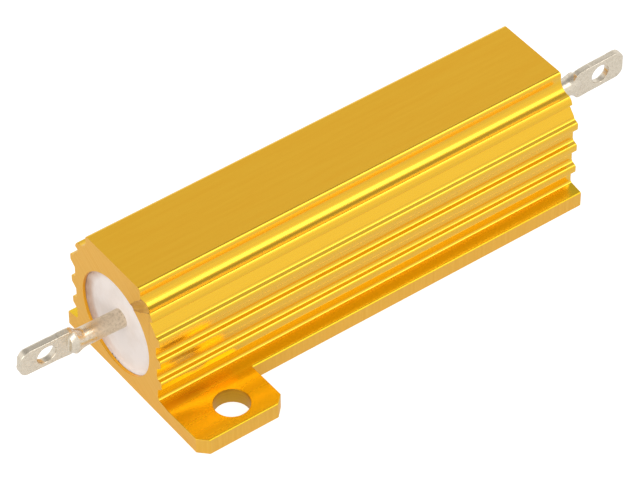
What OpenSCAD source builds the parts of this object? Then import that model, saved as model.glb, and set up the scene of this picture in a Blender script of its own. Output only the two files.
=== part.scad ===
// Aluminium housed wirewound power resistor.
// A finned aluminium extrusion with two milled mounting feet holds a wound ceramic rod,
// potted in white compound, with a flattened solder lug at each end.
// X runs along the body, the base stands on Z = 0 and the origin is the centre of the base.

/* [Housing] */
// Length of the extruded housing
housing_len = 50; // [40:0.5:80]
// Width across the two mounting feet
foot_span = 27.66; // [24:0.1:34]
// Width of the flange where it is milled back between the feet
flange_w = 16.8; // [15.6:0.1:20]
// Length of each foot along the body
foot_len = 9.8; // [8:0.1:14]
// Chamfer on the two outer corners of each foot
foot_chamfer = 0.95; // [0.2:0.05:2]
// Thickness of the flange where it meets the body
root_t = 1.98; // [1.6:0.02:3]
// Thickness of the flange at the end of its falling stretch
flange_t = 1.76; // [1.2:0.02:2]
// Thickness at the outer edge of a foot
foot_t = 1.87; // [1.2:0.02:2.4]
// Diameter of the mounting hole in each foot
foot_hole_d = 3.6; // [2.5:0.1:4.5]
// Distance from the end of the housing to the hole's centre
foot_hole_inset = 5.44; // [4:0.02:7]
// Distance from the outer edge of a foot to the hole's centre
foot_hole_edge = 2.78; // [2.5:0.02:4]

/* [Fins] */
// Width across the valleys between the fins
waist_w = 13.44; // [12.6:0.02:15]
// Width across the tips of the side fins
fin_w = 14.8; // [14:0.05:15.5]
// Number of fins on each side below the shoulder
fin_count = 3; // [2:1:5]
// Rise from the flange to the top face of the lowest fin, where it meets the wall
fin_rise = 2.9; // [2.6:0.02:3.4]
// Rise from one fin to the next
fin_pitch = 2.82; // [2.5:0.02:3.4]
// Fall of a fin's top face towards its tip, in degrees
fin_fall = 20; // [0:1:25]
// Height of a fin from its top face at the wall to the lower edge of its tip
fin_tip_h = 1.03; // [0.9:0.01:1.3]
// Height over which the underside of a fin runs back to the valley
fin_under_h = 0.55; // [0.2:0.05:0.8]
// Radius along the upper edge of a fin
fin_nose_r = 0.3; // [0.15:0.01:0.4]
// Radius in the root of a fin's top face
fin_root_r = 0.35; // [0.1:0.01:0.4]
// Radius in the corner between the flange and the wall
flange_root_r = 0.3; // [0.1:0.01:0.4]

/* [Crown] */
// Rise from the highest fin to the shoulder
shoulder_rise = 2.28; // [2:0.02:3]
// Width across the lower edge of the shoulder
shoulder_w = 12.8; // [12.2:0.05:13.4]
// Height of the shoulder from its top face to its lower edge
shoulder_tip_h = 0.82; // [0.7:0.02:1]
// Height over which the underside of the shoulder runs back to the neck
shoulder_under_h = 0.28; // [0.1:0.02:0.4]
// Lean of the shoulder's bowed outer face at its lower edge, in degrees
shoulder_lean = 8; // [0:1:15]
// Radius of the shoulder's bowed outer face
shoulder_bow_r = 1.2; // [1.2:0.05:2]
// Radius along the upper edge of the shoulder
shoulder_nose_r = 0.15; // [0.1:0.01:0.25]
// Width of the neck under the shoulder
neck_w = 11.9; // [11.4:0.05:12.1]
// Radius of the cove between the shoulder and the crown
cove_r = 1.2; // [0.5:0.05:1.2]
// Rise from the shoulder to the flat crown
crown_rise = 2.03; // [1.4:0.01:3]
// Width of the crown
crown_w = 9; // [7.6:0.05:9.4]
// Radius along the two edges of the crown
crown_edge_r = 0.4; // [0.1:0.05:0.5]

/* [Bore] */
// Diameter of the bore through the housing
bore_d = 10.96; // [10:0.02:11.4]
// Thickness of metal left under the bore
floor_t = 1.18; // [1:0.02:1.8]
// Depth of the potting's faces inside the ends of the bore
potting_recess = 0.65; // [0.2:0.05:2]
// Radius of the lip of potting that creeps up the wall of the bore
meniscus_r = 0.35; // [0.1:0.05:0.5]

/* [Wound element] */
// Height of the element's axis above the bore's axis
element_rise = 0.35; // [0:0.05:1]
// Shift of the element along the body, towards the right end
element_shift = 0.2; // [-0.4:0.05:0.4]
// Diameter of the ceramic core
core_d = 6.4; // [5:0.1:7]
// Distance from each end of the housing to the end of the ceramic core
core_inset = 6; // [5.5:0.25:11]
// Wall of the pressed steel end caps
cap_wall = 0.4; // [0.2:0.05:0.5]
// Length of an end cap
cap_len = 4.5; // [3:0.1:6]
// Diameter of the resistance wire
wire_d = 0.38; // [0.2:0.02:0.4]
// Number of turns of the resistance wire
wire_turns = 12; // [6:1:16]

/* [Terminals] */
// Diameter of the tinned terminal wire
pin_d = 1.95; // [1.6:0.05:2.2]
// Length of round wire that stands out of the left end of the housing
left_pin_out = 4.9; // [3:0.05:8]
// Length of round wire that stands out of the right end of the housing
right_pin_out = 5.25; // [3:0.05:8]
// Length of the flattened lug
lug_len = 6; // [5.5:0.1:9]
// Width of the lug
lug_w = 3.2; // [2.9:0.05:4.2]
// Thickness of the lug
lug_t = 0.75; // [0.5:0.05:1]
// Offset of the lug's middle plane from the axis of the wire
lug_offset = 0.28; // [0:0.02:0.45]
// Length over which the wire widens into the lug
lug_flare = 1.8; // [0.6:0.1:2]
// Radius of the lug's outer corners
lug_corner_r = 1; // [0.2:0.05:1.4]
// Diameter of the hole in the lug
lug_hole_d = 2.15; // [1.4:0.05:2.4]
// Distance from the tip of the lug to the centre of its hole
lug_hole_inset = 2.95; // [2:0.05:3.4]
// Twist of the left lug about the axis of its wire, in degrees
left_twist = -6; // [-15:1:15]
// Twist of the right lug about the axis of its wire, in degrees
right_twist = 0; // [-15:1:15]
// Upward tilt of each terminal where it is welded to its cap, in degrees
terminal_tilt = 1.6; // [0:0.1:3]

/* [Hidden] */
$fn = 64;

// clearance round the wound element, and between the wire and what it lies against
fit_gap = 0.03;
// extra reach of a cutting tool past the face that it cuts
over = 1;

bore_z = floor_t + bore_d / 2;
element_z = bore_z + element_rise;
shoulder_z = fin_z(fin_count) + shoulder_rise;
// the flanks start where the fillet over the highest fin ends
flank_z = fin_z(fin_count) + fin_root_r * cos(fin_fall) / (1 + sin(fin_fall));
shoulder_low = shoulder_z - shoulder_tip_h;
neck_z = shoulder_low - shoulder_under_h;
crown_z = shoulder_z + crown_rise;
foot_hole_rows = foot_span - 2 * foot_hole_edge;
core_len = housing_len - 2 * core_inset;
cap_face = core_len / 2 + cap_wall;
cap_rim = cap_face - cap_len;
cap_r = core_d / 2 + cap_wall;
pocket_r = max(cap_r, core_d / 2 + wire_d + fit_gap) + fit_gap;
potting_face = housing_len / 2 - potting_recess;
// the square end of the tilted wire just touches the cap
wire_start = cap_face + pin_d / 2 * sin(terminal_tilt);

// sides and steps per turn of the resistance wire
WIRE_SIDES = 6;
WIRE_STEPS = 18;

// height of the top face of fin number i at the wall, counted upwards from the flange
function fin_z(i) = root_t + fin_rise + (i - 1) * fin_pitch;

// direction in the section, at an angle above the horizontal
function facing(angle) = [cos(angle), sin(angle)];

// Extrudes a piece of the section, drawn across Y and up Z, along the whole housing.
module along_body() {
    rotate([90, 0, 90]) linear_extrude(housing_len, center = true) children();
}

// Draws its children on both sides of the body's middle plane.
module both_sides() {
    children();
    mirror([0, 1, 0]) children();
}

// Round bead of the section, centred at x and z.
module bead(x, z, r) {
    along_body() translate([x, z]) circle(r);
}

// Fillet in the corner between an upright wall and a face that falls away from it
// by fall degrees. Its inner corner lies well inside the metal.
module root_fillet(corner, r, fall = 0) {
    wall = facing(0);
    top = facing(90 - fall);
    centre = corner + r * (wall + top) / (1 + wall * top);
    difference() {
        along_body() polygon([2 * corner - centre, centre - r * wall, centre, centre - r * top]);
        bead(centre[0], centre[1], r);
    }
}

// The foot's upper face falls away from the body and rises a little to its edge.
module flange() {
    along_body() polygon([[0, 0], [foot_span / 2, 0], [foot_span / 2, foot_t],
                          [flange_w / 2, flange_t], [waist_w / 2 + flange_root_r, root_t],
                          [0, root_t]]);
    root_fillet([waist_w / 2, root_t], flange_root_r);
}

// One fin, its top face at height z where it leaves the wall.
module fin(z) {
    nose_x = fin_w / 2 - fin_nose_r;
    nose_z = z - (nose_x - waist_w / 2) * tan(fin_fall) - fin_nose_r / cos(fin_fall);
    low = z - fin_tip_h;
    along_body() polygon([[0, z], [waist_w / 2, z],
                          [nose_x, nose_z] + fin_nose_r * facing(90 - fin_fall),
                          [nose_x, nose_z], [fin_w / 2, nose_z], [fin_w / 2, low],
                          [waist_w / 2, low - fin_under_h], [0, low - fin_under_h]]);
    bead(nose_x, nose_z, fin_nose_r);
}

// Straight body between the fins, then the flanks that lean in to the neck.
module trunk() {
    along_body() polygon([[0, 0], [waist_w / 2, 0], [waist_w / 2, flank_z],
                          [neck_w / 2, neck_z], [neck_w / 2, shoulder_low],
                          [0, shoulder_low]]);
    for (i = [1 : fin_count]) {
        fin(fin_z(i));
        root_fillet([waist_w / 2, fin_z(i)], fin_root_r, fin_fall);
    }
}

// The shoulder: a bowed outer face that runs up into a small round along its top.
module shoulder() {
    tip = [shoulder_w / 2, shoulder_low];
    bow = tip - shoulder_bow_r * facing(shoulder_lean);
    nose_z = shoulder_z - shoulder_nose_r;
    reach = shoulder_bow_r - shoulder_nose_r;
    nose_angle = asin((nose_z - bow[1]) / reach);
    nose = bow + reach * facing(nose_angle);
    meet = bow + shoulder_bow_r * facing(nose_angle);
    along_body() polygon([[0, shoulder_z], [nose[0], shoulder_z], nose, meet, tip,
                          [neck_w / 2, neck_z], [0, neck_z]]);
    bead(nose[0], nose[1], shoulder_nose_r);
    intersection() {
        bead(bow[0], bow[1], shoulder_bow_r);
        along_body() polygon([bow, meet, [shoulder_w / 2 + over, meet[1]],
                              [shoulder_w / 2 + over, shoulder_low], tip]);
    }
}

// The crown: upright side walls with rounded edges, and coves down to the shoulder.
module crown() {
    edge = [crown_w / 2 - crown_edge_r, crown_z - crown_edge_r];
    along_body() polygon([[0, shoulder_low], [0, crown_z], [edge[0], crown_z], edge,
                          [crown_w / 2, edge[1]], [crown_w / 2, shoulder_low]]);
    bead(edge[0], edge[1], crown_edge_r);
    root_fillet([crown_w / 2, shoulder_z], cove_r);
}

// The aluminium extrusion as it comes from the die, before it is milled and drilled.
module extrusion() {
    both_sides() {
        flange();
        trunk();
        shoulder();
        crown();
    }
}

// One foot seen from above, at the left end of the front side, chamfered at its corners.
module foot_plan() {
    x0 = -housing_len / 2;
    x1 = x0 + foot_len;
    y1 = -foot_span / 2;
    polygon([[x0, 0], [x1, 0], [x1, y1 + foot_chamfer], [x1 - foot_chamfer, y1],
             [x0 + foot_chamfer, y1], [x0, y1 + foot_chamfer]]);
}

// Draws its children at one end and again, turned half round, at the other.
module both_ends() {
    children();
    rotate([0, 0, 180]) children();
}

// What is left after the flanges are milled back between the feet.
module milled_blank() {
    linear_extrude(crown_z) square([housing_len, flange_w], center = true);
    both_ends() linear_extrude(crown_z) foot_plan();
}

module foot_hole() {
    translate([-housing_len / 2 + foot_hole_inset, -foot_hole_rows / 2, -over])
        cylinder(h = root_t + 2 * over, d = foot_hole_d);
}

// Rod along X, centred on the origin.
module rod(len, d) {
    rotate([0, 90, 0]) cylinder(h = len, d = d, center = true);
}

module housing() {
    color("goldenrod") difference() {
        intersection() {
            extrusion();
            milled_blank();
        }
        translate([0, 0, bore_z]) rod(housing_len + 2 * over, bore_d);
        both_ends() foot_hole();
    }
}

// Places its children, drawn round the X axis, on the axis of the wound element.
module on_element() {
    translate([element_shift, 0, element_z]) children();
}

module core() {
    color("ivory") on_element() rod(core_len, core_d);
}

// Helix of the resistance wire, from one end cap to the other.
module winding() {
    lay_r = (core_d + wire_d) / 2 + fit_gap;
    reach = 2 * (cap_rim - wire_d / 2 - fit_gap);
    steps = wire_turns * WIRE_STEPS;
    points = [for (i = [0 : steps]) for (j = [0 : WIRE_SIDES - 1])
        let (turn = 360 * i / WIRE_STEPS, side = 360 * j / WIRE_SIDES,
             r = lay_r + wire_d / 2 * cos(side))
        [reach * (i / steps - 0.5) + wire_d / 2 * sin(side), r * cos(turn), r * sin(turn)]];
    walls = [for (i = [0 : steps - 1]) for (j = [0 : WIRE_SIDES - 1])
        let (a = i * WIRE_SIDES, k = (j + 1) % WIRE_SIDES)
        [a + j, a + k, a + WIRE_SIDES + k, a + WIRE_SIDES + j]];
    first = [for (j = [WIRE_SIDES - 1 : -1 : 0]) j];
    last = [for (j = [0 : WIRE_SIDES - 1]) steps * WIRE_SIDES + j];
    color("dimgray") on_element() polyhedron(points, concat(walls, [first, last]));
}

// Pressed steel cup on the end of the core.
module cap() {
    difference() {
        translate([cap_face - cap_len / 2, 0, 0]) rod(cap_len, 2 * cap_r);
        translate([core_len / 2 - cap_len, 0, 0]) rod(2 * cap_len, core_d);
    }
}

module cap_left() {
    color("silver") on_element() rotate([0, 0, 180]) cap();
}

module cap_right() {
    color("silver") on_element() cap();
}

// Compound that fills the bore round the element and creeps up its wall at both ends.
module potting() {
    bore_r = bore_d / 2;
    lip_face = potting_face + meniscus_r;
    color("linen") difference() {
        translate([0, 0, bore_z]) rotate([0, 90, 0]) rotate_extrude() difference() {
            translate([0, -lip_face]) square([bore_r, 2 * lip_face]);
            both_faces() end_hollow(bore_r, lip_face);
        }
        on_element() {
            rod(2 * cap_face, 2 * pocket_r);
            both_ends() on_wire() wire(lip_face + over - cap_face);
        }
    }
}

// Draws its children at both ends of the potting's section.
module both_faces() {
    children();
    mirror([0, 1]) children();
}

// Section of the hollow that the meniscus leaves in the potting's face.
module end_hollow(bore_r, lip_face) {
    translate([-over, potting_face]) square([bore_r - meniscus_r + over, 2 * meniscus_r]);
    translate([bore_r - meniscus_r, lip_face]) circle(meniscus_r);
}

// Side view of the lug: the wire widens to a strap with rounded corners.
module lug_outline(pin_end) {
    half = lug_w / 2;
    lug_tip = pin_end + lug_len;
    corner_x = lug_tip - lug_corner_r;
    root_x = pin_end - lug_flare;
    polygon([[root_x, 0], [pin_end, -pin_d / 2], [pin_end + lug_flare, -half], [corner_x, -half],
             [corner_x, -half + lug_corner_r], [lug_tip, -half + lug_corner_r],
             [lug_tip, half - lug_corner_r], [corner_x, half - lug_corner_r],
             [corner_x, half], [pin_end + lug_flare, half], [pin_end, pin_d / 2]]);
    for (side = [-1, 1])
        translate([corner_x, side * (half - lug_corner_r)]) circle(lug_corner_r);
}

// Places its children, drawn along X, on the axis of the wire that leaves a cap.
module on_wire() {
    translate([cap_face, 0, 0]) rotate([0, -terminal_tilt, 0]) translate([-cap_face, 0, 0])
        children();
}

// Round wire from the weld on the cap to where the lug starts.
module wire(len) {
    translate([wire_start, 0, 0]) rotate([0, 90, 0]) cylinder(h = len, d = pin_d);
}

// Tinned wire, butt-welded to the end cap, with its outer end pressed to a flat lug.
module terminal(pin_out, twist) {
    pin_end = housing_len / 2 + pin_out;
    neck = (pin_d - lug_t) / 2;
    on_wire() rotate([twist, 0, 0]) {
        wire(pin_end - wire_start);
        translate([pin_end, 0, 0]) rotate([0, 90, 0])
            cylinder(h = neck, d1 = pin_d, d2 = pin_d - neck);
        difference() {
            translate([0, lug_t / 2 - lug_offset, 0]) rotate([90, 0, 0])
                linear_extrude(lug_t) lug_outline(pin_end);
            translate([pin_end + lug_len - lug_hole_inset, 0, 0]) rotate([90, 0, 0])
                cylinder(h = pin_d + 2 * over, d = lug_hole_d, center = true);
        }
    }
}

module terminal_left() {
    color("lightgray") on_element() rotate([0, 0, 180]) terminal(left_pin_out, left_twist);
}

module terminal_right() {
    color("lightgray") on_element() terminal(right_pin_out, right_twist);
}

housing();
core();
winding();
cap_left();
cap_right();
potting();
terminal_left();
terminal_right();
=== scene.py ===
"""Dresses the aluminium housed power resistor that is loaded as the frame.

The gold housing, the potting and the two terminals get rounded edges, the marks of how they
were made and their finishes. The wound element inside keeps its shape and gets its finishes.
Sizes are in millimetres where they are named, and in metres once they are in a mesh.
"""

import logging
import math
from dataclasses import dataclass, field
from enum import Enum
from typing import Any, Mapping, Optional, Sequence

import bmesh
import bpy
from mathutils import Matrix, Vector


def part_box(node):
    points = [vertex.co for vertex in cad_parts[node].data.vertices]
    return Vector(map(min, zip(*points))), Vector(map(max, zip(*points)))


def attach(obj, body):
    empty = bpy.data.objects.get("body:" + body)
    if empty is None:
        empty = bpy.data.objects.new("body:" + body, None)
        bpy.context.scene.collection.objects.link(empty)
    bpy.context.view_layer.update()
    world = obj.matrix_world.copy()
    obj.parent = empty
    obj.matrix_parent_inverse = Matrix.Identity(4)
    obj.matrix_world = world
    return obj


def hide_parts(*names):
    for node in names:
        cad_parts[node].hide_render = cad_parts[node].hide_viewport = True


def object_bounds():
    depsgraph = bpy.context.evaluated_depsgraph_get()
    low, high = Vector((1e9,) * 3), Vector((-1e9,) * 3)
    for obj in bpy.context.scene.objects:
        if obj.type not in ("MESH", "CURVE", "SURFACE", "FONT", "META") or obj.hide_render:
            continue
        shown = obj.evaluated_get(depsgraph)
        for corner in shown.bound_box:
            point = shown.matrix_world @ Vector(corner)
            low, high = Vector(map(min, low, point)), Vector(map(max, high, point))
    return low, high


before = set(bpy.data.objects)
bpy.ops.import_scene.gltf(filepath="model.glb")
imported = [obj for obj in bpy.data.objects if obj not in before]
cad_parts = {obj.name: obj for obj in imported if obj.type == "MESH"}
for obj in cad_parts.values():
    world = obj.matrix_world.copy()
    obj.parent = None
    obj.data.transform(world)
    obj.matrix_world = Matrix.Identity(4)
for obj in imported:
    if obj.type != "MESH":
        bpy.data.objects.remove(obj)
CAD_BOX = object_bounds()

MM = 0.001
WELD = 0.0005  # mm between corners that are one
FLAT_ANGLE = 0.2  # degrees between triangles that are one face
BORE_AXIS = 6.66  # mm above the base
LOG = logging.getLogger("resistor")


class Slot(Enum):
    """The material slots of the part, by the name that each has in its record."""

    HOUSING = "housing"
    CORE = "core"
    WINDING = "winding"
    CAPS = "caps"
    POTTING = "potting"
    TERMINALS = "terminals"


class Skin(Enum):
    """How each face of the housing was made, in the order of its material slots."""

    EXTRUDED = 0
    CROWN = 1
    SAWN = 2
    MILLED = 3
    BORED = 4
    LEDGE = 5
    DRILLED = 6
    DENTED = 7


# ---------------------------------------------------------------- shared helpers


def linear(code: str) -> tuple[float, float, float, float]:
    """Turns an sRGB hex colour into the linear colour that a shader reads.

    Args:
        code: The colour as "#RRGGBB".

    Returns:
        Red, green, blue and an alpha of 1.
    """
    parts = [int(code[i : i + 2], 16) / 255 for i in (1, 3, 5)]
    lit = [c / 12.92 if c <= 0.04045 else ((c + 0.055) / 1.055) ** 2.4 for c in parts]
    return (lit[0], lit[1], lit[2], 1.0)


def add_node(
    tree: bpy.types.NodeTree,
    kind: str,
    settings: Optional[Mapping[Any, Any]] = None,
    links: Optional[Mapping[Any, bpy.types.NodeSocket]] = None,
) -> bpy.types.Node:
    """Adds one node with its settings and the links that come into it.

    Args:
        tree: The node tree that gets the node.
        kind: The node's type name.
        settings: Values by attribute name, or by the name or number of an input.
        links: Output sockets by the name or number of the input that they feed.

    Returns:
        The new node.
    """
    node = tree.nodes.new(kind)
    for key, value in (settings or {}).items():
        if isinstance(key, str) and hasattr(node, key):
            setattr(node, key, value)
        else:
            node.inputs[key].default_value = value
    for key, socket in (links or {}).items():
        tree.links.new(socket, node.inputs[key])
    return node


def merged_copy(node: str, name: str) -> bmesh.types.BMesh:
    """Copies a node of the frame as one closed mesh with flat faces joined.

    Args:
        node: The frame's node.
        name: What the copy is called in the log.

    Returns:
        The copy, to be shaped further.
    """
    bm = bmesh.new()
    bm.from_mesh(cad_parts[node].data)
    bmesh.ops.remove_doubles(bm, verts=bm.verts, dist=WELD * MM)
    bmesh.ops.dissolve_limit(
        bm, angle_limit=math.radians(FLAT_ANGLE), verts=bm.verts, edges=bm.edges
    )
    LOG.info("%s: %d vertices taken from %s", name, len(bm.verts), node)
    return bm


def make_object(
    bm: bmesh.types.BMesh, name: str, finishes: Sequence[bpy.types.Material]
) -> bpy.types.Object:
    """Turns a bmesh into an object at the origin that carries its finishes.

    Args:
        bm: The mesh, which is freed.
        name: The object's name.
        finishes: Materials in slot order.

    Returns:
        The new object.
    """
    mesh = bpy.data.meshes.new(name)
    bm.to_mesh(mesh)
    bm.free()
    for finish in finishes:
        mesh.materials.append(finish)
    obj = bpy.data.objects.new(name, mesh)
    bpy.context.scene.collection.objects.link(obj)
    return obj


def add_modifier(obj: bpy.types.Object, kind: str, **settings: Any) -> None:
    """Adds a modifier with its settings.

    Args:
        obj: The object that gets it.
        kind: The modifier's type.
        settings: Values by attribute name.
    """
    modifier = obj.modifiers.new(kind.title(), kind)
    for key, value in settings.items():
        setattr(modifier, key, value)


def apply_modifiers(obj: bpy.types.Object) -> None:
    """Bakes an object's modifiers into its mesh."""
    graph = bpy.context.evaluated_depsgraph_get()
    baked = bpy.data.meshes.new_from_object(obj.evaluated_get(graph), depsgraph=graph)
    obj.modifiers.clear()
    obj.data = baked


def smooth_by_angle(obj: bpy.types.Object, degrees: float) -> None:
    """Shades a mesh smooth, apart from edges sharper than an angle in degrees."""
    obj.data.shade_smooth()
    obj.data.set_sharp_from_angle(angle=math.radians(degrees))


# ---------------------------------------------------------------- finishes


@dataclass(frozen=True)
class Finish:
    """A finish whose constants sit on the shader's own sockets."""

    name: str
    colour: str
    metallic: float = 0.0
    roughness: float = 0.5

    def make(self) -> bpy.types.Material:
        """Builds the material.

        Returns:
            The material, with its pattern in place.
        """
        material = bpy.data.materials.new(self.name)
        material.use_nodes = True
        tree = material.node_tree
        shader = tree.nodes["Principled BSDF"]
        shader.inputs["Base Color"].default_value = linear(self.colour)
        shader.inputs["Metallic"].default_value = self.metallic
        shader.inputs["Roughness"].default_value = self.roughness
        self.pattern(tree, shader)
        return material

    def pattern(self, tree: bpy.types.NodeTree, shader: bpy.types.Node) -> None:
        """Adds what varies over the surface; a plain finish adds nothing."""


@dataclass(frozen=True)
class StreakedMetal(Finish):
    """Metal with fine straight marks, drawn or cut along one direction.

    The marks are noise stretched along the way of the cut: they tint the colour, change the
    gloss a little and stand as shallow relief.
    """

    mark_len: tuple[float, float, float] = (60.0, 0.25, 0.25)  # mm along X, Y and Z
    turn: tuple[float, float, float] = (0.0, 0.0, 0.0)  # degrees
    depth: float = 0.004  # mm of relief
    detail: float = 3.0  # octaves
    tint: str = "#FFFFFF"
    tint_share: float = 0.3
    tint_span: tuple[float, float] = (0.35, 0.7)  # of the noise, from no tint to full
    rough_low: float = 0.15
    rough_high: float = 0.3
    rough_span: tuple[float, float] = (0.3, 0.7)  # of the noise, from low to high
    grain_len: float = 0.5  # mm
    grain_depth: float = 0.0  # mm
    coat: float = 0.0
    coat_roughness: float = 0.1

    def pattern(self, tree: bpy.types.NodeTree, shader: bpy.types.Node) -> None:
        """Adds the marks and the grain.

        Args:
            tree: The material's node tree.
            shader: Its Principled shader.
        """
        shader.inputs["Coat Weight"].default_value = self.coat
        shader.inputs["Coat Roughness"].default_value = self.coat_roughness
        place = add_node(tree, "ShaderNodeTexCoord").outputs["Object"]
        turned = add_node(
            tree,
            "ShaderNodeMapping",
            {
                "vector_type": "TEXTURE",
                "Rotation": [math.radians(a) for a in self.turn],
                "Scale": [side * MM for side in self.mark_len],
            },
            {"Vector": place},
        ).outputs["Vector"]
        marks = add_node(
            tree,
            "ShaderNodeTexNoise",
            {"Scale": 1.0, "Detail": self.detail, "Roughness": 0.55},
            {"Vector": turned},
        ).outputs["Fac"]
        share = add_node(
            tree,
            "ShaderNodeMapRange",
            {
                "From Min": self.tint_span[0],
                "From Max": self.tint_span[1],
                "To Max": self.tint_share,
            },
            {"Value": marks},
        ).outputs["Result"]
        tinted = add_node(
            tree,
            "ShaderNodeMix",
            {"data_type": "RGBA", 6: linear(self.colour), 7: linear(self.tint)},
            {0: share},
        ).outputs[2]
        rough = add_node(
            tree,
            "ShaderNodeMapRange",
            {
                "From Min": self.rough_span[0],
                "From Max": self.rough_span[1],
                "To Min": self.rough_low,
                "To Max": self.rough_high,
            },
            {"Value": marks},
        ).outputs["Result"]
        relief = add_node(
            tree,
            "ShaderNodeBump",
            {"Strength": 1.0, "Distance": self.depth * MM},
            {"Height": marks},
        ).outputs["Normal"]
        if self.grain_depth > 0:
            grain = add_node(
                tree,
                "ShaderNodeTexNoise",
                {"Scale": 1 / (self.grain_len * MM), "Detail": 3.0},
                {"Vector": place},
            ).outputs["Fac"]
            relief = add_node(
                tree,
                "ShaderNodeBump",
                {"Strength": 1.0, "Distance": self.grain_depth * MM},
                {"Height": grain, "Normal": relief},
            ).outputs["Normal"]
        tree.links.new(tinted, shader.inputs["Base Color"])
        tree.links.new(rough, shader.inputs["Roughness"])
        tree.links.new(relief, shader.inputs["Normal"])


@dataclass(frozen=True)
class CastCompound(Finish):
    """Poured white compound: a soft matt skin with faint clouds and a few dark specks."""

    cloud: str = "#D9C6B6"
    cloud_len: float = 2.5  # mm
    cloud_span: tuple[float, float] = (0.45, 0.8)  # of the noise, from no cloud to full
    cloud_share: float = 0.5
    speck: str = "#A08C86"
    speck_len: float = 0.5  # mm between places that may hold a speck
    speck_rarity: float = 0.93  # share of those places that stay clean
    speck_span: tuple[float, float] = (0.12, 0.3)  # of speck_len, from its heart to its rim
    speck_share: float = 0.6
    skin_depth: float = 0.03  # mm of relief
    # painted shade: a brown tint where the compound meets the bore's wall on one side
    wall_shade: str = "#B98F6C"
    wall_shade_share: float = 0.0
    wall_shade_axis: float = 0.0  # mm, height of the axis that the painted wall shade lies round
    wall_shade_reach: tuple[float, float] = (4.5, 5.6)  # mm from that axis
    wall_shade_side: tuple[float, float] = (-1.0, 3.5)  # mm along Y
    wall_shade_gain: float = 1.8  # makes up for the clouds, which dim the painted shade

    def pattern(self, tree: bpy.types.NodeTree, shader: bpy.types.Node) -> None:
        """Adds clouds, specks and the uneven skin.

        Args:
            tree: The material's node tree.
            shader: Its Principled shader.
        """
        place = add_node(tree, "ShaderNodeTexCoord").outputs["Object"]
        cloud = add_node(
            tree,
            "ShaderNodeTexNoise",
            {"Scale": 1 / (self.cloud_len * MM), "Detail": 4.0},
            {"Vector": place},
        ).outputs["Fac"]
        share = add_node(
            tree,
            "ShaderNodeMapRange",
            {
                "From Min": self.cloud_span[0],
                "From Max": self.cloud_span[1],
                "To Max": self.cloud_share,
            },
            {"Value": cloud},
        ).outputs["Result"]
        clouded = add_node(
            tree,
            "ShaderNodeMix",
            {"data_type": "RGBA", 6: linear(self.colour), 7: linear(self.cloud)},
            {0: share},
        ).outputs[2]
        cells = add_node(
            tree,
            "ShaderNodeTexVoronoi",
            {"Scale": 1 / (self.speck_len * MM), "Randomness": 1.0},
            {"Vector": place},
        )
        chosen = add_node(
            tree,
            "ShaderNodeMath",
            {"operation": "GREATER_THAN", 1: self.speck_rarity},
            {0: cells.outputs["Color"]},
        ).outputs[0]
        near = add_node(
            tree,
            "ShaderNodeMapRange",
            {
                "From Min": self.speck_span[0],
                "From Max": self.speck_span[1],
                "To Min": self.speck_share,
                "To Max": 0.0,
            },
            {"Value": cells.outputs["Distance"]},
        ).outputs["Result"]
        spot = add_node(
            tree, "ShaderNodeMath", {"operation": "MULTIPLY"}, {0: chosen, 1: near}
        ).outputs[0]
        specked = add_node(
            tree,
            "ShaderNodeMix",
            {"data_type": "RGBA", 7: linear(self.speck)},
            {0: spot, 6: clouded},
        ).outputs[2]
        relief = add_node(
            tree,
            "ShaderNodeBump",
            {"Strength": 1.0, "Distance": self.skin_depth * MM},
            {"Height": cloud},
        ).outputs["Normal"]
        # painted shade at the bore's wall
        if self.wall_shade_share > 0:
            specked = self.painted_wall_shade(tree, place, specked, cloud)
        tree.links.new(specked, shader.inputs["Base Color"])
        tree.links.new(relief, shader.inputs["Normal"])

    def painted_wall_shade(
        self,
        tree: bpy.types.NodeTree,
        place: bpy.types.NodeSocket,
        plain: bpy.types.NodeSocket,
        cloud: bpy.types.NodeSocket,
    ) -> bpy.types.NodeSocket:
        """Adds painted shade: a brown tint where the compound meets the bore's wall on one
        side.

        Args:
            tree: The material's node tree.
            place: Object coordinates.
            plain: The colour without the painted shade.
            cloud: The clouds, which fray the painted shade.

        Returns:
            The colour with the painted shade.
        """
        spoke = add_node(
            tree,
            "ShaderNodeVectorMath",
            {"operation": "MULTIPLY_ADD", 1: (0, 1, 1), 2: (0, 0, -self.wall_shade_axis * MM)},
            {0: place},
        ).outputs["Vector"]
        radius = add_node(
            tree, "ShaderNodeVectorMath", {"operation": "LENGTH"}, {0: spoke}
        ).outputs["Value"]
        rim = add_node(
            tree,
            "ShaderNodeMapRange",
            {
                "From Min": self.wall_shade_reach[0] * MM,
                "From Max": self.wall_shade_reach[1] * MM,
            },
            {"Value": radius},
        ).outputs["Result"]
        across = add_node(tree, "ShaderNodeSeparateXYZ", None, {"Vector": spoke}).outputs["Y"]
        side = add_node(
            tree,
            "ShaderNodeMapRange",
            {
                "interpolation_type": "SMOOTHSTEP",
                "From Min": self.wall_shade_side[0] * MM,
                "From Max": self.wall_shade_side[1] * MM,
                "To Max": self.wall_shade_gain * self.wall_shade_share,
            },
            {"Value": across},
        ).outputs["Result"]
        share = add_node(
            tree, "ShaderNodeMath", {"operation": "MULTIPLY"}, {0: rim, 1: side}
        ).outputs[0]
        share = add_node(
            tree,
            "ShaderNodeMath",
            {"operation": "MULTIPLY", "use_clamp": True},
            {0: share, 1: cloud},
        ).outputs[0]
        return add_node(
            tree,
            "ShaderNodeMix",
            {"data_type": "RGBA", 7: linear(self.wall_shade)},
            {0: share, 6: plain},
        ).outputs[2]


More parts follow.
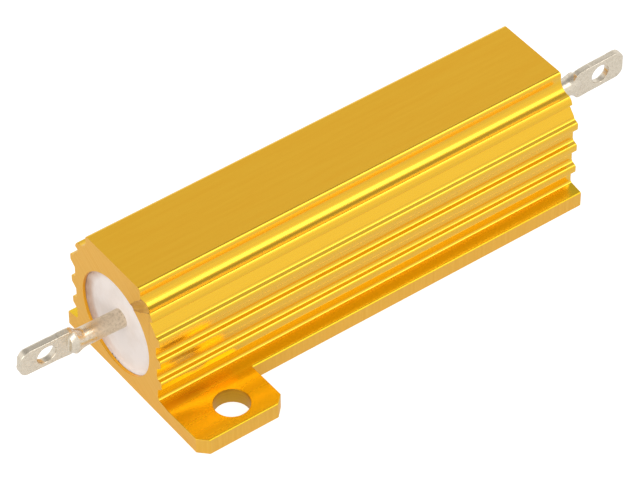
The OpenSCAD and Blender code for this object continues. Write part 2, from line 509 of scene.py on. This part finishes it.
@dataclass(frozen=True)
class TinnedMetal(Finish):
    """Hot-tinned wire: a soft silver gloss with dull mottles and small dents.

    The gloss is dulled by flux close to the compound that the wire comes out of.
    """

    dull: str = "#B0A48E"
    mottle_len: float = 0.25  # mm
    mottle_span: tuple[float, float] = (0.45, 0.75)  # of the noise, from bright to dull
    mottle_share: float = 0.45
    dent_len: float = 0.6  # mm
    dent_depth: float = 0.006  # mm
    rough_low: float = 0.2
    rough_high: float = 0.42
    rough_span: tuple[float, float] = (0.35, 0.7)  # of the noise, from low to high
    flux_reach: tuple[float, float] = (26.0, 28.0)  # mm from the part's middle
    flux_rough: float = 0.45

    def pattern(self, tree: bpy.types.NodeTree, shader: bpy.types.Node) -> None:
        """Adds the mottles and the dents.

        Args:
            tree: The material's node tree.
            shader: Its Principled shader.
        """
        place = add_node(tree, "ShaderNodeTexCoord").outputs["Object"]
        mottle = add_node(
            tree,
            "ShaderNodeTexNoise",
            {"Scale": 1 / (self.mottle_len * MM), "Detail": 6.0, "Roughness": 0.65},
            {"Vector": place},
        ).outputs["Fac"]
        share = add_node(
            tree,
            "ShaderNodeMapRange",
            {
                "From Min": self.mottle_span[0],
                "From Max": self.mottle_span[1],
                "To Max": self.mottle_share,
            },
            {"Value": mottle},
        ).outputs["Result"]
        mottled = add_node(
            tree,
            "ShaderNodeMix",
            {"data_type": "RGBA", 6: linear(self.colour), 7: linear(self.dull)},
            {0: share},
        ).outputs[2]
        rough = add_node(
            tree,
            "ShaderNodeMapRange",
            {
                "From Min": self.rough_span[0],
                "From Max": self.rough_span[1],
                "To Min": self.rough_low,
                "To Max": self.rough_high,
            },
            {"Value": mottle},
        ).outputs["Result"]
        along = add_node(tree, "ShaderNodeSeparateXYZ", None, {"Vector": place}).outputs["X"]
        reach = add_node(
            tree, "ShaderNodeMath", {"operation": "ABSOLUTE"}, {0: along}
        ).outputs[0]
        flux = add_node(
            tree,
            "ShaderNodeMapRange",
            {
                "From Min": self.flux_reach[0] * MM,
                "From Max": self.flux_reach[1] * MM,
                "To Min": self.flux_rough,
                "To Max": 0.0,
            },
            {"Value": reach},
        ).outputs["Result"]
        rough = add_node(
            tree, "ShaderNodeMath", {"operation": "ADD", "use_clamp": True}, {0: rough, 1: flux}
        ).outputs[0]
        dents = add_node(
            tree,
            "ShaderNodeTexNoise",
            {"Scale": 1 / (self.dent_len * MM), "Detail": 2.0},
            {"Vector": place},
        ).outputs["Fac"]
        relief = add_node(
            tree,
            "ShaderNodeBump",
            {"Strength": 1.0, "Distance": self.dent_depth * MM},
            {"Height": dents},
        ).outputs["Normal"]
        tree.links.new(mottled, shader.inputs["Base Color"])
        tree.links.new(rough, shader.inputs["Roughness"])
        tree.links.new(relief, shader.inputs["Normal"])


# The gold is a dye in clear oxide: it deepens to orange wherever light bounces twice.
HOUSING_FINISHES: dict[Skin, Finish] = {
    # the flanks come bright from the die, with fine lines drawn along the body
    Skin.EXTRUDED: StreakedMetal(
        "gold_anodised_extrusion", "#F7C427", 1.0, tint="#EDB011", coat=0.7,
        coat_roughness=0.14,
    ),
    # the crown was scuffed matt before it was dyed, so it scatters an even ochre
    Skin.CROWN: StreakedMetal(
        "gold_anodised_scuffed", "#F7C33B", 1.0, tint="#E4AE2C", tint_share=0.12, depth=0.001,
        mark_len=(6.0, 0.5, 0.5), rough_low=0.5, rough_high=0.6, grain_len=0.12,
        grain_depth=0.006,
    ),
    # the saw leaves slanting lines and a dull tan
    Skin.SAWN: StreakedMetal(
        "gold_anodised_sawn", "#F2C05C", 1.0, tint="#E4AF4A", depth=0.005,
        mark_len=(1.0, 14.0, 0.22), turn=(35.0, 0.0, 0.0), rough_low=0.5,
        rough_high=0.62, grain_len=0.15, grain_depth=0.006,
    ),
    # a side mill leaves short upright lines
    Skin.MILLED: StreakedMetal(
        "gold_anodised_milled", "#F5C255", 1.0, tint="#E2A93A", depth=0.004,
        mark_len=(0.3, 0.3, 8.0), rough_low=0.38, rough_high=0.5,
    ),
    # the reamer leaves a bright wall
    Skin.BORED: StreakedMetal(
        "gold_anodised_reamed", "#FFBE3A", 1.0, tint="#E89A12", depth=0.002,
        mark_len=(0.3, 12.0, 12.0), rough_low=0.22, rough_high=0.32,
    ),
    # the top of the flange and feet lies in the fins' mirror image; its paler yellow is painted
    # light that keeps it yellow there
    Skin.LEDGE: StreakedMetal(
        "gold_anodised_ledge_painted_light", "#F2C830", 1.0, tint="#EBB81C", depth=0.012,
        mark_len=(30.0, 1.5, 1.5), detail=1.5, rough_low=0.22, rough_high=0.3,
    ),
    # the drill leaves faint rings; the wall's darker olive is painted shade inside the hole
    Skin.DRILLED: StreakedMetal(
        "gold_anodised_drilled_painted_shade", "#DDAA34", 1.0, tint="#C8942A", depth=0.002,
        mark_len=(12.0, 12.0, 0.3), rough_low=0.35, rough_high=0.45,
    ),
    # the dent's hollow is painted a darker brown gold, as painted shade
    Skin.DENTED: StreakedMetal(
        "gold_anodised_dent_painted_shade", "#E0AC52", 1.0, tint="#B07A30", tint_share=0.5,
        depth=0.006, mark_len=(0.7, 0.9, 0.9), rough_low=0.35, rough_high=0.5,
    ),
}

# hot-dipped tin is a bright silver with a faint straw cast, cloudy where it ran thin
LUG_TIN = TinnedMetal("tinned_copper", "#E8DDCA", 1.0)


# ---------------------------------------------------------------- sub-assemblies


@dataclass
class Housing:
    """The gold extrusion with its feet, bore and holes."""

    edge_break: float = 0.07  # mm taken off each sharp edge
    sharp_angle: float = 40.0  # degrees
    smooth_angle: float = 30.0  # degrees
    rim_break: float = 0.16  # mm taken off the upper rims of the flange and the feet
    rim_height: tuple[float, float] = (1.7, 1.95)  # mm, the band that those rims lie in
    rim_out: float = 8.3  # mm from the middle plane, just short of the flange's rim
    rim_len: float = 2.0  # mm, shorter than any of those rims
    rim_turn: float = 1.0  # radians, less than the corner at a rim
    slack: float = 0.01  # mm by which a level edge may tilt
    skin_slack: float = 0.02  # mm by which a face may lie off its plane
    square_on: float = 0.999  # cosine for a face that looks along an axis
    upward: float = 0.9  # cosine for a face that looks mostly up
    level_look: float = 0.01  # cosine below which a face looks level
    endward: float = 0.05  # cosine above which a wall isn't parallel to the body
    flange_top: float = 2.1  # mm, just above the flange
    wall_reach: float = 6.6  # mm, just short of the wall between the fins
    fin_reach: float = 7.5  # mm, just past the fins
    bore_axis: float = BORE_AXIS
    bore_reach: float = 5.6  # mm, just past the bore's wall
    foot_hole: tuple[float, float] = (19.56, 11.05)  # mm along and across the body
    hole_reach: float = 2.0  # mm, just past a foot hole's wall
    dent_from: tuple[float, float] = (-2.6, 11.0)  # mm, Y and Z where it starts
    dent_to: tuple[float, float] = (-6.2, 14.0)  # mm, Y and Z where it leaves the rim
    dent_radius: float = 0.9  # mm
    dent_depth: float = 0.5  # mm where it leaves the rim
    finishes: dict[Skin, Finish] = field(default_factory=lambda: HOUSING_FINISHES)

    def skin_of(self, face: bmesh.types.BMFace, low: Vector, high: Vector) -> Skin:
        """Tells how a face was made from where it lies and where it looks.

        Args:
            face: A face of the housing.
            low: The housing's lowest corner; not used.
            high: The housing's highest corner.

        Returns:
            The skin that the face gets.
        """
        normal, middle = face.normal, face.calc_center_median()
        near = self.skin_slack * MM
        if abs(normal.x) > self.square_on and abs(abs(middle.x) - high.x) < near:
            return Skin.SAWN
        if normal.z > self.square_on and high.z - middle.z < near:
            return Skin.CROWN
        low_down = middle.z < self.flange_top * MM and abs(middle.y) > self.wall_reach * MM
        if normal.z > self.upward and low_down:
            return Skin.LEDGE
        upright = abs(normal.z) < self.level_look
        off_hole = Vector((abs(middle.x), abs(middle.y))) - Vector(self.foot_hole) * MM
        if upright and off_hole.length < self.hole_reach * MM:
            return Skin.DRILLED
        past_fins = abs(middle.y) > self.fin_reach * MM
        if upright and (abs(normal.x) > self.endward or past_fins):
            return Skin.MILLED
        spoke = Vector((middle.y, middle.z - self.bore_axis * MM))
        looks_in = spoke.x * normal.y + spoke.y * normal.z < 0
        if spoke.length < self.bore_reach * MM and looks_in:
            return Skin.BORED
        return Skin.EXTRUDED

    def break_rims(self, bm: bmesh.types.BMesh) -> None:
        """Rounds the long upper rims of the flange and of the feet.

        Args:
            bm: The housing's mesh.
        """
        rims = []
        low, high = (height * MM for height in self.rim_height)
        slack = self.slack * MM
        for edge in bm.edges:
            a, b = (vert.co for vert in edge.verts)
            level = abs(a.z - b.z) < slack and low < a.z < high
            along = abs(a.y - b.y) < slack and abs(a.x - b.x) > self.rim_len * MM
            outer = abs(a.y) > self.rim_out * MM
            if level and along and outer and edge.calc_face_angle(0) > self.rim_turn:
                rims.append(edge)
        bmesh.ops.bevel(
            bm,
            geom=rims,
            offset=self.rim_break * MM,
            offset_type="OFFSET",
            segments=3,
            profile=0.5,
            affect="EDGES",
            material=-1,
        )
        LOG.info("housing_shell: %d rims rounded", len(rims))

    def dent_tool(self, finishes: Sequence[bpy.types.Material]) -> bpy.types.Object:
        """Makes the rod whose print is the dent in the rim of the left end.

        Args:
            finishes: The housing's materials, of which the print gets its own.

        Returns:
            The tool, to be taken away once it has cut.
        """
        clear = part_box("housing")[0].x / MM - self.dent_radius
        start = Vector((clear, *self.dent_from)) * MM
        end = Vector((clear + self.dent_depth, *self.dent_to)) * MM
        bm = bmesh.new()
        bmesh.ops.create_cone(
            bm,
            cap_ends=True,
            segments=64,
            radius1=self.dent_radius * MM,
            radius2=self.dent_radius * MM,
            depth=(end - start).length,
        )
        turn = (end - start).to_track_quat("Z", "X").to_matrix()
        bmesh.ops.rotate(bm, verts=bm.verts, matrix=turn)
        bmesh.ops.translate(bm, verts=bm.verts, vec=(start + end) / 2)
        # the print's faces take the brown finish that paints the dent's shade
        for face in bm.faces:
            face.material_index = Skin.DENTED.value
        return make_object(bm, "dent_tool", finishes)

    def build(self) -> bpy.types.Object:
        """Builds the dressed housing.

        Returns:
            The piece, riding on the body and standing for the plain node.
        """
        low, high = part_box("housing")
        bm = merged_copy("housing", "housing_shell")
        for face in bm.faces:
            face.material_index = self.skin_of(face, low, high).value
        self.break_rims(bm)
        finishes = [self.finishes[skin].make() for skin in Skin]
        shell = make_object(bm, "housing_shell", finishes)
        tool = self.dent_tool(finishes)
        add_modifier(shell, "BOOLEAN", operation="DIFFERENCE", object=tool, solver="EXACT")
        apply_modifiers(shell)
        bpy.data.objects.remove(tool)
        add_modifier(
            shell,
            "BEVEL",
            width=self.edge_break * MM,
            segments=2,
            limit_method="ANGLE",
            angle_limit=math.radians(self.sharp_angle),
            profile=0.5,
            material=-1,
            use_clamp_overlap=False,
        )
        apply_modifiers(shell)
        smooth_by_angle(shell, self.smooth_angle)
        add_modifier(shell, "WEIGHTED_NORMAL", keep_sharp=True, weight=50)
        apply_modifiers(shell)
        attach(shell, "root")
        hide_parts("housing")
        return shell


@dataclass
class Potting:
    """The white compound that closes both ends of the bore."""

    bore_axis: float = BORE_AXIS
    wall_radius: float = 5.468  # mm, just clear of the bore's flats
    smooth_angle: float = 40.0  # degrees
    # filled compound sets to a warm chalky white; the brown tint near the bore's wall on one
    # side is painted shade
    finish: Finish = CastCompound(
        "cast_white_compound", "#FAF0EA", roughness=0.55, wall_shade_share=0.9, wall_shade_axis=BORE_AXIS
    )

    def build(self) -> bpy.types.Object:
        """Builds the dressed compound.

        Returns:
            The piece, riding on the body and standing for the plain node.
        """
        bm = merged_copy("potting", "potting_fill")
        for vert in bm.verts:
            spoke = Vector((0, vert.co.y, vert.co.z - self.bore_axis * MM))
            if spoke.length > self.wall_radius * MM:
                vert.co -= spoke * (1 - self.wall_radius * MM / spoke.length)
        fill = make_object(bm, "potting_fill", [self.finish.make()])
        smooth_by_angle(fill, self.smooth_angle)
        add_modifier(fill, "WEIGHTED_NORMAL", keep_sharp=True, weight=100)
        apply_modifiers(fill)
        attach(fill, "root")
        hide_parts("potting")
        return fill


@dataclass
class Terminal:
    """One tinned wire with its end pressed to a lug."""

    node: str
    finish: bpy.types.Material
    voxel: float = 0.07  # mm
    rounding: float = 0.5  # share of the way that each pass takes a corner to its neighbours
    rounding_passes: int = 6
    wire_half: float = 0.975  # mm
    lug_half: float = 1.6  # mm
    lug_len: float = 6.0  # mm
    flare_len: float = 1.8  # mm over which the plain lug widens
    press_back: float = 1.0  # mm of wire that the press has already widened
    press_reach: float = 0.5  # mm from the wire's end to the lug's full width

    def press(self, mesh: bpy.types.Mesh, wire_end: float, height: float) -> None:
        """Widens the wire's end so that it runs into the lug over a shorter length.

        Args:
            mesh: The terminal's mesh.
            wire_end: Where the round wire ends, as a distance from the body's middle.
            height: The height of the wire's axis there.
        """
        for vert in mesh.vertices:
            reach = (abs(vert.co.x) - wire_end) / MM
            plain = self.wire_half
            if reach > 0:
                share = min(1, reach / self.flare_len)
                plain += (self.lug_half - self.wire_half) * share
            share = (reach + self.press_back) / (self.press_back + self.press_reach)
            share = max(0, min(1, share))
            share = share * share * (3 - 2 * share)  # eases in and out
            wanted = self.wire_half + (self.lug_half - self.wire_half) * share
            if wanted > plain:
                vert.co.z = height + (vert.co.z - height) * wanted / plain

    def build(self) -> bpy.types.Object:
        """Builds the dressed terminal with the soft edges that pressing leaves.

        Returns:
            The piece, riding on the body and standing for the plain node.
        """
        name = f"{self.node}_pressed"
        bm = merged_copy(self.node, name)
        wire = make_object(bm, name, [self.finish])
        add_modifier(wire, "REMESH", mode="VOXEL", voxel_size=self.voxel * MM)
        add_modifier(wire, "SMOOTH", factor=self.rounding, iterations=self.rounding_passes)
        apply_modifiers(wire)
        low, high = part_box(self.node)
        tip = max(abs(low.x), abs(high.x))
        axis = high.z - self.lug_half * MM
        self.press(wire.data, tip - self.lug_len * MM, axis)
        wire.data.shade_smooth()
        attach(wire, "root")
        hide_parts(self.node)
        return wire


@dataclass
class WoundElement:
    """The core, its winding and its end caps, which keep their shape inside."""

    # fired ceramic is a chalky cream
    core: Finish = CastCompound("fired_ceramic", "#E9E2D2", roughness=0.7)
    # drawn resistance wire is a dull grey
    winding: Finish = TinnedMetal("nickel_chrome_wire", "#8D8880", 1.0)
    # plated steel is a soft silver
    caps: Finish = TinnedMetal("nickel_plated_steel", "#C9C6BF", 1.0)

    def dress(self) -> None:
        """Puts the finishes on the frame's own nodes."""
        caps = self.caps.make()
        for node, material in (
            ("core", self.core.make()),
            ("winding", self.winding.make()),
            ("cap_left", caps),
            ("cap_right", caps),
        ):
            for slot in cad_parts[node].material_slots:
                slot.material = material


# ---------------------------------------------------------------- studio


@dataclass
class SoftLamp:
    """A square soft light that looks at the part."""

    name: str
    towards: tuple[float, float, float]  # the way from the part to the lamp
    radiance: float
    size: float = 0.4  # m
    distance: float = 0.6  # m

    def build(self, aim: Vector) -> bpy.types.Object:
        """Hangs the lamp.

        Args:
            aim: The point that it looks at.

        Returns:
            The lamp's object.
        """
        data = bpy.data.lights.new(self.name, "AREA")
        data.shape = "SQUARE"
        data.size = self.size
        data.energy = self.radiance * math.pi * self.size**2
        lamp = bpy.data.objects.new(self.name, data)
        way = Vector(self.towards).normalized()
        lamp.location = aim + way * self.distance
        lamp.rotation_mode = "QUATERNION"
        lamp.rotation_quaternion = way.to_track_quat("Z", "Y")
        bpy.context.scene.collection.objects.link(lamp)
        return lamp


@dataclass
class Studio:
    """The white sweep, the lamps, the ceiling's glow and the camera."""

    floor_side: float = 4.0  # m
    floor_drop: float = 0.02  # mm below the base
    floor_colour: str = "#B4B4B4"
    floor_glow_seen: float = 0.86
    floor_glow_mirrored: float = 0.46
    sky_low: float = 0.98
    sky_high: float = 0.38
    sky_fall: tuple[float, float] = (0.5, 0.95)  # sine of the height where it dims
    lamps: Sequence[SoftLamp] = (
        SoftLamp("front_lamp", (0.43, -0.44, 0.785), 1.75, 0.25),
        SoftLamp("front_glow", (0.43, -0.42, 0.80), 0.35, 0.44),
        SoftLamp("left_lamp", (-0.90, -0.25, 0.35), 1.5, 0.5),
    )
    azimuth: float = -36.348  # degrees
    elevation: float = 44.101  # degrees
    roll: float = -0.331  # degrees
    distance: float = 0.387387  # m
    offset: tuple[float, float] = (-0.000847, 0.002287)  # m to the right and up
    lens: float = 222.3158  # mm
    clip: tuple[float, float] = (0.01, 10.0)  # m

    def build_floor(self) -> bpy.types.Object:
        """Lays the white floor, which glows where it is seen and keeps the shadow.

        Returns:
            The floor's object.
        """
        bm = bmesh.new()
        bmesh.ops.create_grid(bm, size=self.floor_side / 2)
        bmesh.ops.translate(bm, verts=bm.verts, vec=(0, 0, -self.floor_drop * MM))
        # matt paper: an even pale ground with no gleam
        material = bpy.data.materials.new("white_paper_sweep")
        material.use_nodes = True
        tree = material.node_tree
        paper = tree.nodes["Principled BSDF"]
        paper.inputs["Base Color"].default_value = linear(self.floor_colour)
        paper.inputs["Roughness"].default_value = 0.9
        paper.inputs["Specular IOR Level"].default_value = 0.0
        paper.inputs["Emission Color"].default_value = linear("#FFFFFF")
        path = add_node(tree, "ShaderNodeLightPath").outputs
        seen = add_node(
            tree,
            "ShaderNodeMath",
            {"operation": "MULTIPLY", 1: self.floor_glow_seen},
            {0: path["Is Camera Ray"]},
        ).outputs[0]
        glow = add_node(
            tree,
            "ShaderNodeMath",
            {"operation": "MULTIPLY_ADD", 1: self.floor_glow_mirrored},
            {0: path["Is Glossy Ray"], 2: seen},
        ).outputs[0]
        tree.links.new(glow, paper.inputs["Emission Strength"])
        floor = make_object(bm, "floor", [material])
        return floor

    def build_world(self) -> None:
        """Gives the world white walls and a dimmer ceiling."""
        world = bpy.data.worlds.new("studio")
        bpy.context.scene.world = world
        world.use_nodes = True
        tree = world.node_tree
        sky = tree.nodes["Background"]
        sky.inputs["Color"].default_value = linear("#FFFFFF")
        way = add_node(tree, "ShaderNodeTexCoord").outputs["Generated"]
        height = add_node(tree, "ShaderNodeSeparateXYZ", None, {"Vector": way}).outputs["Z"]
        fall = add_node(
            tree,
            "ShaderNodeMapRange",
            {
                "interpolation_type": "SMOOTHSTEP",
                "From Min": self.sky_fall[0],
                "From Max": self.sky_fall[1],
                "To Min": self.sky_low,
                "To Max": self.sky_high,
            },
            {"Value": height},
        ).outputs["Result"]
        seen = add_node(tree, "ShaderNodeLightPath").outputs["Is Camera Ray"]
        strength = add_node(
            tree, "ShaderNodeMix", {"data_type": "FLOAT", 3: 1.0}, {0: seen, 2: fall}
        ).outputs[0]
        tree.links.new(strength, sky.inputs["Strength"])

    def build_camera(self) -> bpy.types.Object:
        """Sets the camera up.

        Returns:
            The camera's object, already the scene's camera.
        """
        azimuth, elevation = math.radians(self.azimuth), math.radians(self.elevation)
        back = Vector(
            (
                math.sin(azimuth) * math.cos(elevation),
                -math.cos(azimuth) * math.cos(elevation),
                math.sin(elevation),
            )
        )
        level = Vector((math.cos(azimuth), math.sin(azimuth), 0))
        turn = Matrix.Rotation(math.radians(self.roll), 3, back)
        right, up = turn @ level, turn @ back.cross(level)
        data = bpy.data.cameras.new("camera")
        data.lens = self.lens
        data.clip_start, data.clip_end = self.clip
        camera = bpy.data.objects.new("camera", data)
        place = back * self.distance + right * self.offset[0] + up * self.offset[1]
        pose = Matrix((right, up, back)).transposed().to_4x4()
        pose.translation = place
        camera.matrix_world = pose
        bpy.context.scene.collection.objects.link(camera)
        bpy.context.scene.camera = camera
        return camera

    def build(self) -> None:
        """Builds the whole studio and sets how tones are shown."""
        low, high = CAD_BOX
        aim = (low + high) / 2
        self.build_camera()
        self.build_floor()
        self.build_world()
        for lamp in self.lamps:
            lamp.build(aim)
        bpy.context.scene.view_settings.view_transform = "Standard"


def main() -> None:
    """Builds the studio and dresses every piece of the part."""
    logging.basicConfig(level=logging.INFO)
    Studio().build()
    pieces = [Housing().build(), Potting().build()]
    tin = LUG_TIN.make()
    for node in ("terminal_left", "terminal_right"):
        pieces.append(Terminal(node, tin).build())
    WoundElement().dress()
    for piece in pieces:
        LOG.info("%s: %d faces", piece.name, len(piece.data.polygons))


if __name__ == "__main__":
    main()
